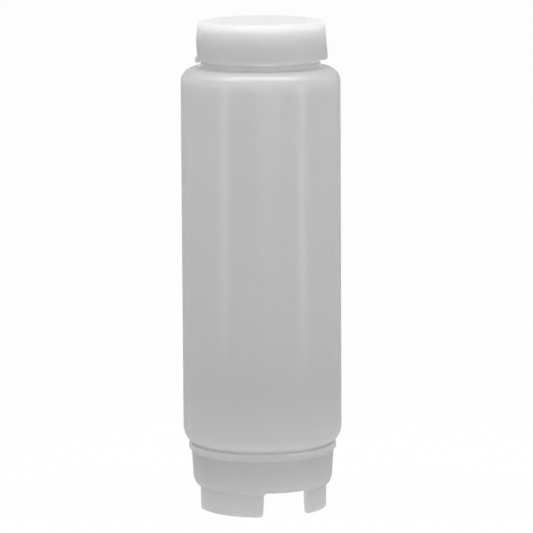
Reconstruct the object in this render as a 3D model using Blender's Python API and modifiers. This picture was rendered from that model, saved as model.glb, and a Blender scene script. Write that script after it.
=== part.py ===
"""A double-ended squeeze bottle that stands on its dispensing cap, with a hinged refill lid on top.

The bottle is open at both ends. A screw cap with three feet closes the lower end and holds a slit valve.
A screw collar closes the upper end and carries a flip lid. All lengths are in metres, with +Z up.
"""

import math

import bmesh
import bpy
from mathutils import Matrix, Vector

# Driving sizes of the bottle
BODY_RADIUS = 0.0350
BODY_WALL = 0.0012
STRAIGHT_HEIGHT = 0.1525
SHOULDER_HEIGHT = 0.0068
HEEL_HEIGHT = 0.0090
NECK_RADIUS = 0.0238
NECK_WALL = 0.0014
TOP_NECK_LENGTH = 0.0093
BOTTOM_NECK_LENGTH = 0.0132
LEDGE_WIDTH = 0.0027
LEDGE_HEIGHT = 0.0015
LEDGE_INSET = 0.00025
HEEL_SEAT_WIDTH = 0.0031

# The screw thread that both necks share
THREAD_PITCH = 0.00423
THREAD_DEPTH = 0.0010
THREAD_ROOT_WIDTH = 0.0026
THREAD_CREST_WIDTH = 0.0012
THREAD_LEAD = 0.0020
THREAD_STOP = 0.0022
THREAD_SINK = 0.0004
CLOSURE_THREAD_TURNS = 1.0
CLOSURE_THREAD_LEAD = 0.0001

# Fits and turning
FIT_GAP = 0.0003
SEAL_THICKNESS = 0.0010
SEAL_OVERHANG = 0.0004
CUT_OVERRUN = 0.0020
TURN_STEPS = 48
SMALL_TURN_STEPS = 32
LONG_ARC = 7
SHORT_ARC = 5
CORNER_ARC = 3
MERGE_DISTANCE = 0.00001

# Dispensing cap
FOOT_INSET = 0.0027
FOOT_WALL = 0.0019
FOOT_EDGE = 0.0003
NOTCH_HEIGHT = 0.0109
NOTCH_WIDTH = 0.0201
NOTCH_TAPER = 0.0005
NOTCH_CORNER_RADIUS = 0.0009
FOOT_CORNER_RADIUS = 0.0018
NOTCH_COUNT = 3
FIRST_NOTCH_ANGLE = math.radians(21.2)
NOTCH_TO_DECK = 0.0003
DECK_THICKNESS = 0.0018
THREADED_SLEEVE_WALL = 0.0017
SLEEVE_TO_SKIRT = 0.0025
CAP_SKIRT_WALL = 0.0015
CAP_SKIRT_FLARE = 0.00065
CAP_ROUND_WIDTH = 0.0034
CAP_ROUND_HEIGHT = 0.0059
CAP_ROUND_ABOVE_DECK = 0.0025
CAP_BEAD_OUT = 0.00115
CAP_BEAD_HEIGHT = 0.0034
CAP_BEAD_SHARES = ((0.5, 1), (1, 0.75), (1, 0.5), (0.5, 0.2), (0, 0))
CAP_CROWN_SHARE = 0.55
SLEEVE_TO_HEEL = 0.0010

# Valve and the ring that holds it
VALVE_FLANGE_WIDTH = 0.0055
VALVE_FLANGE_THICKNESS = 0.0015
VALVE_THROAT_GAP = 0.0007
VALVE_WALL = 0.0009
VALVE_DEPTH = 0.0052
VALVE_DOME_RISE = 0.0012
SLIT_TO_THROAT = 0.0034
SLIT_WIDTH = 0.0003
SEAT_TO_BORE = 0.0037
SEAT_WALL = 0.0012
SEAT_WALL_GAP = 0.0015
SNAP_LIP_REACH = 0.0007
SNAP_LIP_HEIGHT = 0.0008
RETAINER_THICKNESS = 0.0020
RETAINER_INSET = 0.0010

# Refill collar
COLLAR_LIFT = 0.0010
COLLAR_WALL = 0.0014
COLLAR_TOP_WALL = 0.0008
COLLAR_DECK_THICKNESS = 0.0013
COLLAR_EDGE = 0.0007
COLLAR_OPENING_INSET = 0.0034
COLLAR_LIP_WALL = 0.0012
COLLAR_LIP_HEIGHT = 0.0020
HINGE_EAR_WIDTH = 0.0140
HINGE_EAR_THICKNESS = 0.0007
HINGE_EAR_RAISE = 0.0001
HINGE_EAR_INSET = 0.00005

# Refill lid
LID_OFFSET = 0.0004
LID_SIDE_GAP = 0.0004
LID_LIFT = 0.0019
LID_WALL = 0.00185
LID_TOP_WALL = 0.00133
LID_INNER_DRAFT = 0.0007
LID_EDGE_RADIUS = 0.0017
LID_TOP_THICKNESS = 0.0016
LID_HEADROOM = 0.0021
LID_DISC_INSET = 0.0042
LID_DISC_STEP = 0.0004
LID_RIM_EDGE = 0.0003
LID_RING_GAP = 0.0008
LID_RING_WALL = 0.0010
LID_RING_RAISE = 0.0005
THUMB_LIP_ANGLE = math.radians(48)
THUMB_LIP_STEPS = 8
THUMB_LIP_DROP = 0.0020
THUMB_LIP_DEPTH = 0.0015
THUMB_LIP_EDGE = 0.0006
THUMB_LIP_PROUD = 0.0001
THUMB_FLAT_DEPTH = 0.00108
THUMB_FLAT_HEIGHT = 0.0072
THUMB_FLAT_ABOVE_RIM = 0.0006
HINGE_RELIEF_HEIGHT = 0.0005
HINGE_AXIS_LIFT = 0.00005
HINGE_AXIS_INSET = 0.0001

# Heights of the stack, from the counter upwards
deck_underside = NOTCH_HEIGHT + NOTCH_TO_DECK
deck_top = deck_underside + DECK_THICKNESS
bottom_rim = deck_top + FIT_GAP + SEAL_THICKNESS + FIT_GAP
heel_bottom = bottom_rim + BOTTOM_NECK_LENGTH
heel_top = heel_bottom + HEEL_HEIGHT
shoulder_bottom = heel_top + STRAIGHT_HEIGHT
shoulder_top = shoulder_bottom + SHOULDER_HEIGHT
ledge_top = shoulder_top + LEDGE_HEIGHT
top_rim = ledge_top + TOP_NECK_LENGTH
collar_bottom = ledge_top + COLLAR_LIFT
collar_deck_underside = top_rim + FIT_GAP + SEAL_THICKNESS + FIT_GAP
collar_deck_top = collar_deck_underside + COLLAR_DECK_THICKNESS
collar_lip_top = collar_deck_top + COLLAR_LIP_HEIGHT
lid_bottom = ledge_top + LID_LIFT
lid_ceiling = collar_lip_top + LID_HEADROOM
lid_top = lid_ceiling + LID_TOP_THICKNESS

# Radii that follow from the neck
ledge_radius = NECK_RADIUS + LEDGE_WIDTH
shoulder_top_radius = ledge_radius + LEDGE_INSET
heel_bottom_radius = NECK_RADIUS + HEEL_SEAT_WIDTH
neck_bore_radius = NECK_RADIUS - NECK_WALL
thread_crest_radius = NECK_RADIUS + THREAD_DEPTH
closure_bore_radius = thread_crest_radius + FIT_GAP
thread_turns = (TOP_NECK_LENGTH - THREAD_LEAD - THREAD_STOP) / THREAD_PITCH

# The hinge line lies on the lid's outer wall, just above the collar's ear
lid_inner_radius = closure_bore_radius + COLLAR_WALL + LID_OFFSET + LID_SIDE_GAP
lid_outer_radius = lid_inner_radius + LID_WALL
hinge_x = LID_OFFSET + lid_outer_radius - HINGE_AXIS_INSET
hinge_z = lid_bottom + HINGE_AXIS_LIFT


def clear_scene():
    for old in list(bpy.data.objects):
        bpy.data.objects.remove(old, do_unlink=True)


def new_collection(name):
    made = bpy.data.collections.new(name)
    bpy.context.scene.collection.children.link(made)
    return made


def plastic(name, colour, roughness):
    made = bpy.data.materials.new(name)
    made.use_nodes = True
    shader = made.node_tree.nodes["Principled BSDF"]
    shader.inputs["Base Color"].default_value = (*colour, 1)
    shader.inputs["Roughness"].default_value = roughness
    shader.inputs["Metallic"].default_value = 0
    return made


def quarter(centre, across, along, start, end, segments):
    """Points of an ellipse from one angle to another, both in degrees, as (radius, height)."""
    points = []
    for step in range(segments + 1):
        angle = math.radians(start + (end - start) * step / segments)
        points.append((centre[0] + across * math.cos(angle), centre[1] + along * math.sin(angle)))
    return points


def heel_height(radius):
    """Height of the bottle's heel above its lower neck's foot, at a radius."""
    run = BODY_RADIUS - heel_bottom_radius
    share = min(max((radius - heel_bottom_radius) / run, 0), 1)
    return HEEL_HEIGHT * (1 - math.sqrt(1 - share * share))


def place(piece, parent, location):
    """Puts a piece at a place in the world, as a child of an empty that isn't turned."""
    piece.location = Vector(location)
    if parent is not None:
        piece.parent = parent
        piece.location = Vector(location) - parent_place(parent)


def parent_place(parent):
    total = Vector(parent.location)
    while parent.parent is not None:
        parent = parent.parent
        total += Vector(parent.location)
    return total


def axis_marker(name, parent, location):
    marker = bpy.data.objects.new(name, None)
    marker.empty_display_size = NECK_RADIUS
    parts.objects.link(marker)
    place(marker, parent, location)
    return marker


def turned(name, outline, steps=TURN_STEPS):
    """A turned piece: a ring of (radius, height) points, run down its outer side, with a Screw modifier.

    Two points that follow each other on the axis get no edge, because the turn closes the piece there.
    """
    mesh = bpy.data.meshes.new(name)
    count = len(outline)
    pairs = [(i, (i + 1) % count) for i in range(count)]
    edges = [(i, j) for i, j in pairs if outline[i][0] > 0 or outline[j][0] > 0]
    mesh.from_pydata([(radius, 0, height) for radius, height in outline], edges, [])
    piece = bpy.data.objects.new(name, mesh)
    parts.objects.link(piece)
    screw = piece.modifiers.new("Turn", "SCREW")
    screw.axis = "Z"
    screw.angle = math.tau
    screw.steps = steps
    screw.render_steps = steps
    screw.use_smooth_shade = True
    screw.use_merge_vertices = True
    screw.merge_threshold = MERGE_DISTANCE
    return piece


def solid_from(name, build, collection):
    """An object from a function that fills a bmesh."""
    shape = bmesh.new()
    build(shape)
    bmesh.ops.recalc_face_normals(shape, faces=shape.faces)
    mesh = bpy.data.meshes.new(name)
    shape.to_mesh(mesh)
    shape.free()
    piece = bpy.data.objects.new(name, mesh)
    collection.objects.link(piece)
    return piece


def as_cutter(piece):
    piece.hide_render = True
    piece.display_type = "WIRE"
    return piece


def combine(piece, other, operation):
    step = piece.modifiers.new(other.name, "BOOLEAN")
    step.operation = operation
    step.solver = "EXACT"
    step.object = other


def swept_profile(profile, start_angle, sweep, steps, rise):
    """A builder that turns a flat (radius, height) outline about Z, rising as it goes."""

    def build(shape):
        corners = [shape.verts.new((radius, 0, height)) for radius, height in profile]
        face = shape.faces.new(corners)
        bmesh.ops.rotate(shape, verts=corners, cent=Vector(), matrix=Matrix.Rotation(start_angle, 3, "Z"))
        bmesh.ops.spin(
            shape,
            geom=[face, *face.edges, *corners],
            cent=Vector(),
            axis=(0, 0, 1),
            dvec=(0, 0, rise / steps),
            angle=sweep,
            steps=steps,
        )

    return build


def thread(name, base_radius, crest_radius, start_height, start_turns, turns, location):
    """A screw thread whose foot is sunk in its wall and whose ends run out into it."""
    sink = math.copysign(THREAD_SINK, crest_radius - base_radius)
    root = base_radius - sink
    half_root = THREAD_ROOT_WIDTH / 2
    half_crest = THREAD_CREST_WIDTH / 2
    start_turns = math.ceil(start_turns * TURN_STEPS) / TURN_STEPS
    height = start_height + start_turns * THREAD_PITCH
    profile = [
        (root, height - half_root),
        (crest_radius, height - half_crest),
        (crest_radius, height + half_crest),
        (root, height + half_root),
    ]
    steps = round(turns * TURN_STEPS)
    sweep = math.tau * steps / TURN_STEPS
    half_step = math.tau / TURN_STEPS / 2
    start_angle = start_turns * math.tau + half_step
    rise = THREAD_PITCH * steps / TURN_STEPS
    build_sweep = swept_profile(profile, start_angle, sweep, steps, rise)

    def build(shape):
        build_sweep(shape)
        ends = [(start_angle, height), (start_angle + sweep, height + rise)]
        for vertex in shape.verts:
            flat = Vector((vertex.co.x, vertex.co.y))
            if abs(flat.length - crest_radius) > MERGE_DISTANCE:
                continue
            for angle, level in ends:
                here = Vector((math.cos(angle), math.sin(angle))) * crest_radius
                near = (flat - here).length < MERGE_DISTANCE
                if near and abs(vertex.co.z - level) < THREAD_ROOT_WIDTH:
                    vertex.co.x *= (base_radius - sink / 2) / crest_radius
                    vertex.co.y *= (base_radius - sink / 2) / crest_radius
                    break

    piece = as_cutter(solid_from(name, build, cutters))
    place(piece, None, location)
    return piece


def block(name, low, high):
    """A box between two corners."""

    def build(shape):
        bmesh.ops.create_cube(shape, size=1)
        size = Vector(high) - Vector(low)
        bmesh.ops.scale(shape, vec=size, verts=shape.verts)
        bmesh.ops.translate(shape, vec=(Vector(high) + Vector(low)) / 2, verts=shape.verts)

    return as_cutter(solid_from(name, build, cutters))


clear_scene()
parts = new_collection("condiment_squeeze_bottle")
cutters = new_collection("cutters")

milky = plastic("milky_polyethylene", (0.80, 0.81, 0.82), 0.38)
lid_plastic = plastic("lid_polyethylene", (0.86, 0.86, 0.86), 0.40)
cap_plastic = plastic("cap_polyethylene", (0.79, 0.80, 0.81), 0.36)
silicone = plastic("clear_silicone", (0.82, 0.83, 0.82), 0.45)
seal_foam = plastic("seal_foam", (0.88, 0.88, 0.87), 0.70)
ring_plastic = plastic("ring_polypropylene", (0.85, 0.85, 0.84), 0.40)


# Bottle body: one blown shell with a threaded neck at each end. Its datum is its lower rim.
def bottle_outline():
    base = bottom_rim
    heel_z = heel_top - base
    shoulder_z = shoulder_bottom - base
    rim_z = top_rim - base
    ledge_z = ledge_top - base
    neck_foot = heel_bottom - base
    shoulder_run = BODY_RADIUS - shoulder_top_radius
    heel_run = BODY_RADIUS - heel_bottom_radius
    outer = [(NECK_RADIUS, rim_z), (NECK_RADIUS, ledge_z), (ledge_radius, ledge_z)]
    outer += [(ledge_radius, ledge_z - LEDGE_HEIGHT + LEDGE_INSET)]
    outer += quarter((shoulder_top_radius, shoulder_z), shoulder_run, SHOULDER_HEIGHT, 90, 0, LONG_ARC)
    outer += quarter((heel_bottom_radius, heel_z), heel_run, HEEL_HEIGHT, 0, -90, LONG_ARC)
    outer += [(NECK_RADIUS, neck_foot), (NECK_RADIUS, 0)]
    inner = [(neck_bore_radius, 0), (neck_bore_radius, neck_foot + BODY_WALL)]
    heel_centre = (heel_bottom_radius - BODY_WALL, heel_z)
    shoulder_centre = (shoulder_top_radius - BODY_WALL, shoulder_z)
    inner += quarter(heel_centre, heel_run, HEEL_HEIGHT - BODY_WALL, -90, 0, SHORT_ARC)
    inner += quarter(shoulder_centre, shoulder_run, SHOULDER_HEIGHT - BODY_WALL, 0, 90, SHORT_ARC)
    inner += [(neck_bore_radius, shoulder_z + SHOULDER_HEIGHT - BODY_WALL), (neck_bore_radius, rim_z)]
    return outer + inner


bottle = turned("bottle_body", bottle_outline())
bottle.data.materials.append(milky)
place(bottle, None, (0, 0, bottom_rim))

top_thread_height = ledge_top + THREAD_LEAD
bottom_thread_height = bottom_rim + THREAD_STOP
top_thread = thread(
    "top_neck_thread",
    NECK_RADIUS,
    thread_crest_radius,
    top_thread_height - bottom_rim,
    0,
    thread_turns,
    bottle.location,
)
bottom_thread = thread(
    "bottom_neck_thread",
    NECK_RADIUS,
    thread_crest_radius,
    bottom_thread_height - bottom_rim,
    0,
    thread_turns,
    bottle.location,
)
combine(bottle, top_thread, "UNION")
combine(bottle, bottom_thread, "UNION")

# The two closures turn about the bottle's own axis
cap_axis = axis_marker("cap_screw_axis", None, (0, 0, bottom_rim))
collar_axis = axis_marker("collar_screw_axis", None, (0, 0, top_rim))
lid_axis = axis_marker("lid_hinge_axis", collar_axis, (hinge_x, 0, hinge_z))


# Dispensing cap: skirt, threaded sleeve, deck with the valve's seat, and a foot ring with three notches.
sleeve_outer_radius = closure_bore_radius + THREADED_SLEEVE_WALL
skirt_inner_radius = sleeve_outer_radius + SLEEVE_TO_SKIRT
skirt_outer_radius = skirt_inner_radius + CAP_SKIRT_WALL
foot_outer_radius = skirt_outer_radius - FOOT_INSET
foot_inner_radius = foot_outer_radius - FOOT_WALL
seat_outer_radius = neck_bore_radius - SEAT_TO_BORE
seat_inner_radius = seat_outer_radius - SEAT_WALL
valve_flange_radius = seat_inner_radius - SEAT_WALL_GAP
valve_opening_radius = valve_flange_radius - VALVE_FLANGE_WIDTH
valve_throat_radius = valve_opening_radius - VALVE_THROAT_GAP
valve_base = deck_top + FIT_GAP
retainer_base = valve_base + VALVE_FLANGE_THICKNESS + FIT_GAP
snap_lip_base = retainer_base + RETAINER_THICKNESS + FIT_GAP
snap_lip_top = snap_lip_base + SNAP_LIP_HEIGHT


def cap_outline():
    round_z = deck_top + CAP_ROUND_ABOVE_DECK
    round_centre = skirt_outer_radius - CAP_ROUND_WIDTH
    foot_share = (foot_outer_radius - round_centre) / CAP_ROUND_WIDTH
    foot_angle = -math.degrees(math.acos(foot_share))
    top_outer = skirt_outer_radius + CAP_SKIRT_FLARE
    top_inner = skirt_inner_radius + CAP_SKIRT_FLARE
    crown_radius = top_outer + CAP_BEAD_OUT * CAP_BEAD_SHARES[0][0]
    crown_z = heel_bottom + heel_height(crown_radius) * CAP_CROWN_SHARE
    inner_crown_z = heel_bottom + heel_height(top_inner) - FIT_GAP
    bead_base = crown_z - CAP_BEAD_HEIGHT
    sleeve_top = heel_bottom - SLEEVE_TO_HEEL
    outer = []
    for out_share, up_share in CAP_BEAD_SHARES:
        outer.append((top_outer + CAP_BEAD_OUT * out_share, bead_base + CAP_BEAD_HEIGHT * up_share))
    outer += quarter((round_centre, round_z), CAP_ROUND_WIDTH, CAP_ROUND_HEIGHT, 0, foot_angle, LONG_ARC)
    outer += [(foot_outer_radius, FOOT_EDGE), (foot_outer_radius - FOOT_EDGE, 0)]
    under = [(foot_inner_radius + FOOT_EDGE, 0), (foot_inner_radius, FOOT_EDGE)]
    under += [(foot_inner_radius, deck_underside), (valve_opening_radius, deck_underside)]
    seat = [(valve_opening_radius, deck_top), (seat_inner_radius, deck_top)]
    seat += [(seat_inner_radius, snap_lip_base), (seat_inner_radius - SNAP_LIP_REACH, snap_lip_base)]
    seat += [(seat_inner_radius - SNAP_LIP_REACH, snap_lip_top), (seat_outer_radius, snap_lip_top)]
    seat += [(seat_outer_radius, deck_top), (closure_bore_radius, deck_top)]
    sleeve = [(closure_bore_radius, sleeve_top), (sleeve_outer_radius, sleeve_top)]
    sleeve += [(sleeve_outer_radius, deck_top), (skirt_inner_radius, deck_top)]
    return outer + under + seat + sleeve + [(top_inner, bead_base), (top_inner, inner_crown_z)]


def notch_outline():
    """The notch as seen from outside: width along X, height along Z, flared where the feet are rounded."""
    half_top = NOTCH_WIDTH / 2 - NOTCH_TAPER
    half_low = NOTCH_WIDTH / 2
    corner = NOTCH_CORNER_RADIUS
    foot = FOOT_CORNER_RADIUS
    right = quarter((half_top - corner, NOTCH_HEIGHT - corner), corner, corner, 90, 0, CORNER_ARC)
    right += quarter((half_low + foot, foot), foot, foot, 180, 270, CORNER_ARC)
    right += [(half_low + foot, -CUT_OVERRUN)]
    left = [(-across, height) for across, height in reversed(right)]
    return right + left


def notch_cutter(index):
    reach = foot_outer_radius + CAP_ROUND_WIDTH + CUT_OVERRUN
    inner = foot_inner_radius - FOOT_WALL - CUT_OVERRUN

    def build(shape):
        corners = [shape.verts.new((across, -inner, height)) for across, height in notch_outline()]
        face = shape.faces.new(corners)
        grown = bmesh.ops.extrude_face_region(shape, geom=[face])["geom"]
        moved = [item for item in grown if isinstance(item, bmesh.types.BMVert)]
        bmesh.ops.translate(shape, vec=(0, inner - reach, 0), verts=moved)
        turn = FIRST_NOTCH_ANGLE + index * math.tau / NOTCH_COUNT
        bmesh.ops.rotate(shape, verts=shape.verts, cent=Vector(), matrix=Matrix.Rotation(turn, 3, "Z"))

    return as_cutter(solid_from(f"foot_notch_{index + 1}", build, cutters))


cap = turned("dispensing_cap", cap_outline())
cap.data.materials.append(cap_plastic)
place(cap, cap_axis, (0, 0, 0))
cap_thread = thread(
    "cap_thread",
    closure_bore_radius,
    NECK_RADIUS + FIT_GAP,
    bottom_thread_height + THREAD_PITCH / 2,
    (thread_turns - CLOSURE_THREAD_TURNS),
    CLOSURE_THREAD_TURNS,
    (0, 0, 0),
)
combine(cap, cap_thread, "UNION")
for notch_index in range(NOTCH_COUNT):
    combine(cap, notch_cutter(notch_index), "DIFFERENCE")


# Seals: flat foam rings between each neck's rim and the deck that closes it.
def seal(name, parent, height, material):
    inner = neck_bore_radius - SEAL_OVERHANG
    outer = closure_bore_radius - FIT_GAP
    ring = turned(name, [(outer, SEAL_THICKNESS), (outer, 0), (inner, 0), (inner, SEAL_THICKNESS)])
    ring.data.materials.append(material)
    place(ring, parent, (0, 0, height))
    return ring


seal("dispensing_seal", cap_axis, deck_top + FIT_GAP, seal_foam)
seal("refill_seal", collar_axis, top_rim + FIT_GAP, seal_foam)


# Slit valve: a flange on the cap's deck, a throat through its opening, and a domed disc with a cross slit.
def valve_outline():
    throat_inner = valve_throat_radius - VALVE_WALL
    dome = quarter((0, -VALVE_DEPTH), valve_throat_radius, -VALVE_DOME_RISE, 0, 90, SHORT_ARC)
    hollow = quarter((0, -VALVE_DEPTH + VALVE_WALL), throat_inner, -VALVE_DOME_RISE, 90, 0, SHORT_ARC)
    flange = [(valve_flange_radius, VALVE_FLANGE_THICKNESS), (valve_flange_radius, 0)]
    flange += [(valve_throat_radius, 0)]
    dome[-1] = (0, dome[-1][1])
    hollow[0] = (0, hollow[0][1])
    return flange + dome + hollow + [(throat_inner, VALVE_FLANGE_THICKNESS)]


valve = turned("slit_valve", valve_outline(), SMALL_TURN_STEPS)
valve.data.materials.append(silicone)
place(valve, cap_axis, (0, 0, valve_base))
slit_top = valve_base - VALVE_DEPTH + VALVE_WALL
slit_bottom = valve_base - VALVE_DEPTH - VALVE_DOME_RISE - VALVE_WALL
slit_reach = valve_throat_radius - VALVE_WALL - SLIT_TO_THROAT
for slit_name, reach_x, reach_y in (
    ("valve_slit_across", slit_reach, SLIT_WIDTH / 2),
    ("valve_slit_along", SLIT_WIDTH / 2, slit_reach),
):
    slit = block(slit_name, (-reach_x, -reach_y, slit_bottom), (reach_x, reach_y, slit_top))
    combine(valve, slit, "DIFFERENCE")


# Valve retainer: a stiff ring that snaps under the lip of the seat wall and holds the flange down.
retainer_outer = seat_inner_radius - FIT_GAP
retainer_inner = valve_opening_radius + RETAINER_INSET
retainer = turned(
    "valve_retainer",
    [
        (retainer_outer - FIT_GAP, RETAINER_THICKNESS),
        (retainer_outer, RETAINER_THICKNESS - FIT_GAP),
        (retainer_outer, 0),
        (retainer_inner, 0),
        (retainer_inner, RETAINER_THICKNESS),
    ],
    SMALL_TURN_STEPS,
)
retainer.data.materials.append(ring_plastic)
place(retainer, cap_axis, (0, 0, retainer_base))


# Refill collar: a threaded ring that clamps the upper seal, with a raised lip and the ear of the hinge.
collar_outer_radius = closure_bore_radius + COLLAR_WALL
collar_top_radius = closure_bore_radius + COLLAR_TOP_WALL
collar_opening_radius = neck_bore_radius - COLLAR_OPENING_INSET
collar_lip_radius = collar_opening_radius + COLLAR_LIP_WALL


def collar_outline():
    deck_low = collar_deck_underside - collar_bottom
    deck_high = collar_deck_top - collar_bottom
    lip_high = collar_lip_top - collar_bottom
    outer = [(collar_lip_radius, lip_high), (collar_lip_radius, deck_high)]
    outer += [(collar_top_radius - COLLAR_EDGE, deck_high), (collar_top_radius, deck_high - COLLAR_EDGE)]
    outer += [(collar_outer_radius, 0)]
    inner = [(closure_bore_radius, 0), (closure_bore_radius, deck_low)]
    inner += [(collar_opening_radius, deck_low), (collar_opening_radius, lip_high)]
    return outer + inner


collar = turned("refill_collar", collar_outline())
collar.data.materials.append(cap_plastic)
place(collar, collar_axis, (0, 0, collar_bottom))
collar_thread_height = top_thread_height - THREAD_PITCH / 2
collar_thread_lead = collar_bottom + CLOSURE_THREAD_LEAD + THREAD_ROOT_WIDTH / 2 - collar_thread_height
collar_thread = thread(
    "collar_thread",
    closure_bore_radius,
    NECK_RADIUS + FIT_GAP,
    collar_thread_height,
    collar_thread_lead / THREAD_PITCH,
    CLOSURE_THREAD_TURNS,
    (0, 0, 0),
)
combine(collar, collar_thread, "UNION")
ear_bottom = collar_bottom + HINGE_EAR_RAISE
ear = block(
    "hinge_ear",
    (closure_bore_radius + COLLAR_WALL / 2, -HINGE_EAR_WIDTH / 2, ear_bottom),
    (hinge_x - HINGE_EAR_INSET, HINGE_EAR_WIDTH / 2, ear_bottom + HINGE_EAR_THICKNESS),
)
combine(collar, ear, "UNION")


# Refill lid: a deep skirt over the collar, a ring that seals round the collar's lip, and a thumb lip.
lid_inner_top_radius = lid_inner_radius - LID_INNER_DRAFT
lid_outer_top_radius = lid_inner_top_radius + LID_TOP_WALL
lid_edge_height = lid_top - lid_bottom - LID_EDGE_RADIUS
lid_draft = (lid_outer_radius - lid_outer_top_radius) / lid_edge_height


def lid_outline():
    top = lid_top - lid_bottom
    ceiling = lid_ceiling - lid_bottom
    disc_radius = lid_outer_top_radius - LID_DISC_INSET
    ring_inner = collar_lip_radius + LID_RING_GAP
    ring_outer = ring_inner + LID_RING_WALL
    ring_low = collar_deck_top + LID_RING_RAISE - lid_bottom
    edge_centre = (lid_outer_top_radius - LID_EDGE_RADIUS, lid_edge_height)
    outer = [(0, top + LID_DISC_STEP), (disc_radius, top + LID_DISC_STEP), (disc_radius + LID_DISC_STEP, top)]
    outer += quarter(edge_centre, LID_EDGE_RADIUS, LID_EDGE_RADIUS, 90, 0, SHORT_ARC)
    outer += [(lid_outer_radius, LID_RIM_EDGE), (lid_outer_radius - LID_RIM_EDGE, 0)]
    inner = [(lid_inner_radius, 0), (lid_inner_top_radius, ceiling), (ring_outer, ceiling)]
    inner += [(ring_outer, ring_low), (ring_inner, ring_low), (ring_inner, ceiling), (0, ceiling)]
    return outer + inner


def lid_radius(height):
    """Outer radius of the lid's skirt at a height above its rim."""
    return lid_outer_radius - lid_draft * height


def thumb_lip_outline():
    outer = lid_outer_radius + THUMB_LIP_PROUD
    inner = lid_outer_radius - THUMB_LIP_DEPTH
    top = THUMB_FLAT_ABOVE_RIM + FIT_GAP
    edge = THUMB_LIP_EDGE
    points = [(inner, top), (inner, -THUMB_LIP_DROP)]
    points += quarter((outer - edge, edge - THUMB_LIP_DROP), edge, edge, -90, 0, CORNER_ARC)
    return points + [(outer, top)]


def build_thumb_flat(shape):
    """A wedge whose inner face lies flat across the skirt, deepest just above the thumb lip."""
    low = THUMB_FLAT_ABOVE_RIM
    high = low + THUMB_FLAT_HEIGHT
    low_x = THUMB_FLAT_DEPTH - lid_radius(low)
    high_x = -lid_radius(high)
    reach = 1 + CUT_OVERRUN / THUMB_FLAT_HEIGHT
    far_x = low_x + (high_x - low_x) * reach
    far_z = low + THUMB_FLAT_HEIGHT * reach
    away_x = -lid_outer_radius - CUT_OVERRUN
    half_chord = math.sqrt(lid_radius(low) ** 2 - low_x**2) + CUT_OVERRUN
    outline = [(low_x, low), (far_x, far_z), (away_x, far_z), (away_x, low)]
    corners = [shape.verts.new((across, -half_chord, height)) for across, height in outline]
    face = shape.faces.new(corners)
    grown = bmesh.ops.extrude_face_region(shape, geom=[face])["geom"]
    moved = [item for item in grown if isinstance(item, bmesh.types.BMVert)]
    bmesh.ops.translate(shape, vec=(0, half_chord * 2, 0), verts=moved)


lid = turned("refill_lid", lid_outline())
lid.data.materials.append(lid_plastic)
lid_place = (LID_OFFSET, 0, lid_bottom)
place(lid, lid_axis, lid_place)
lip_start = math.pi - THUMB_LIP_ANGLE / 2
lip_sweep = swept_profile(thumb_lip_outline(), lip_start, THUMB_LIP_ANGLE, THUMB_LIP_STEPS, 0)
thumb_lip = as_cutter(solid_from("thumb_lip", lip_sweep, cutters))
place(thumb_lip, None, lid_place)
thumb_flat = as_cutter(solid_from("thumb_flat", build_thumb_flat, cutters))
place(thumb_flat, None, lid_place)
relief_half = HINGE_EAR_WIDTH / 2 + FIT_GAP
hinge_relief = block(
    "hinge_relief",
    (collar_outer_radius - CUT_OVERRUN, -relief_half, lid_bottom - CUT_OVERRUN),
    (hinge_x + CUT_OVERRUN, relief_half, lid_bottom + HINGE_RELIEF_HEIGHT),
)
combine(lid, thumb_lip, "UNION")
combine(lid, thumb_flat, "DIFFERENCE")
combine(lid, hinge_relief, "DIFFERENCE")
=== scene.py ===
import math

import bmesh
import bpy
from mathutils import Matrix, Vector


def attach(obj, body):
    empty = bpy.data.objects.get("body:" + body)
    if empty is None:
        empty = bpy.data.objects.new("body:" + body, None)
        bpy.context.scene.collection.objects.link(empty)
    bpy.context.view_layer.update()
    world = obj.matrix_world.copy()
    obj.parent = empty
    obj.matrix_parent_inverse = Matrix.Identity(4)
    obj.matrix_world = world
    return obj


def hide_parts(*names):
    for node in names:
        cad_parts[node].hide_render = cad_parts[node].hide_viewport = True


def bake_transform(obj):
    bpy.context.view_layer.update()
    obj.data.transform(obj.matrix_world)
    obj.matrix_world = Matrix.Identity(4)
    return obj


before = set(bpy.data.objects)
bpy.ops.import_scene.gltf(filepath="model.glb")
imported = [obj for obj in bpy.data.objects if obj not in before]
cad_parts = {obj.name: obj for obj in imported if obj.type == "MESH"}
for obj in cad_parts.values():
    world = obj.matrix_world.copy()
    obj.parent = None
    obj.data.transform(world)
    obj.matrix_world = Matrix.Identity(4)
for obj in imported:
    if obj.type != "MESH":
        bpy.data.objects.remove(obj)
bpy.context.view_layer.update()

# Bottle body: one blown tube of milky polyethylene with a threaded neck at each end. A shoulder and a
# heel lead from the straight wall to the necks, and the halves of the mould meet in a faint line down
# each side. Outlines are drawn in millimetres, as (radius, height, rounding).
MM = 0.001
TURN_STEPS = 180
SECTORS = 12
WELD = 0.000001
SAME = 0.001
ROUND_STEPS = 5
LARGE_ROUNDING = 3
BODY_RADIUS = 35.0
BODY_BORE = 33.8
SHOULDER = 195.75
SHOULDER_ROUNDING = (8.1, 6.45)
SHOULDER_INSIDE = 194.55
SHOULDER_INSIDE_ROUNDING = (7.05, 5.25)
HEEL = 27.8
HEEL_ROUNDING = (8.1, 9.0)
HEEL_INSIDE = 29.0
HEEL_INSIDE_ROUNDING = (6.9, 7.8)
LEDGE = 197.7
LEDGE_RADIUS = 26.2
LEDGE_FOOT_RADIUS = 26.85
UPPER_RIM = 206.9
LOWER_RIM = 14.6
RIM_ROUNDING = 0.35
NECK_RADIUS = 23.8
NECK_CREST = 24.8
NECK_BORE = 22.4
NECK_THREADS = (199.6, 16.8)
NECK_TURNS = (0, 1.2)
THREAD_PITCH = 4.23
THREAD_ROOT = 2.6
THREAD_CREST = 1.2
THREAD_RUN_OUT = 0.035
THREAD_ROW = 0.2
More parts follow.
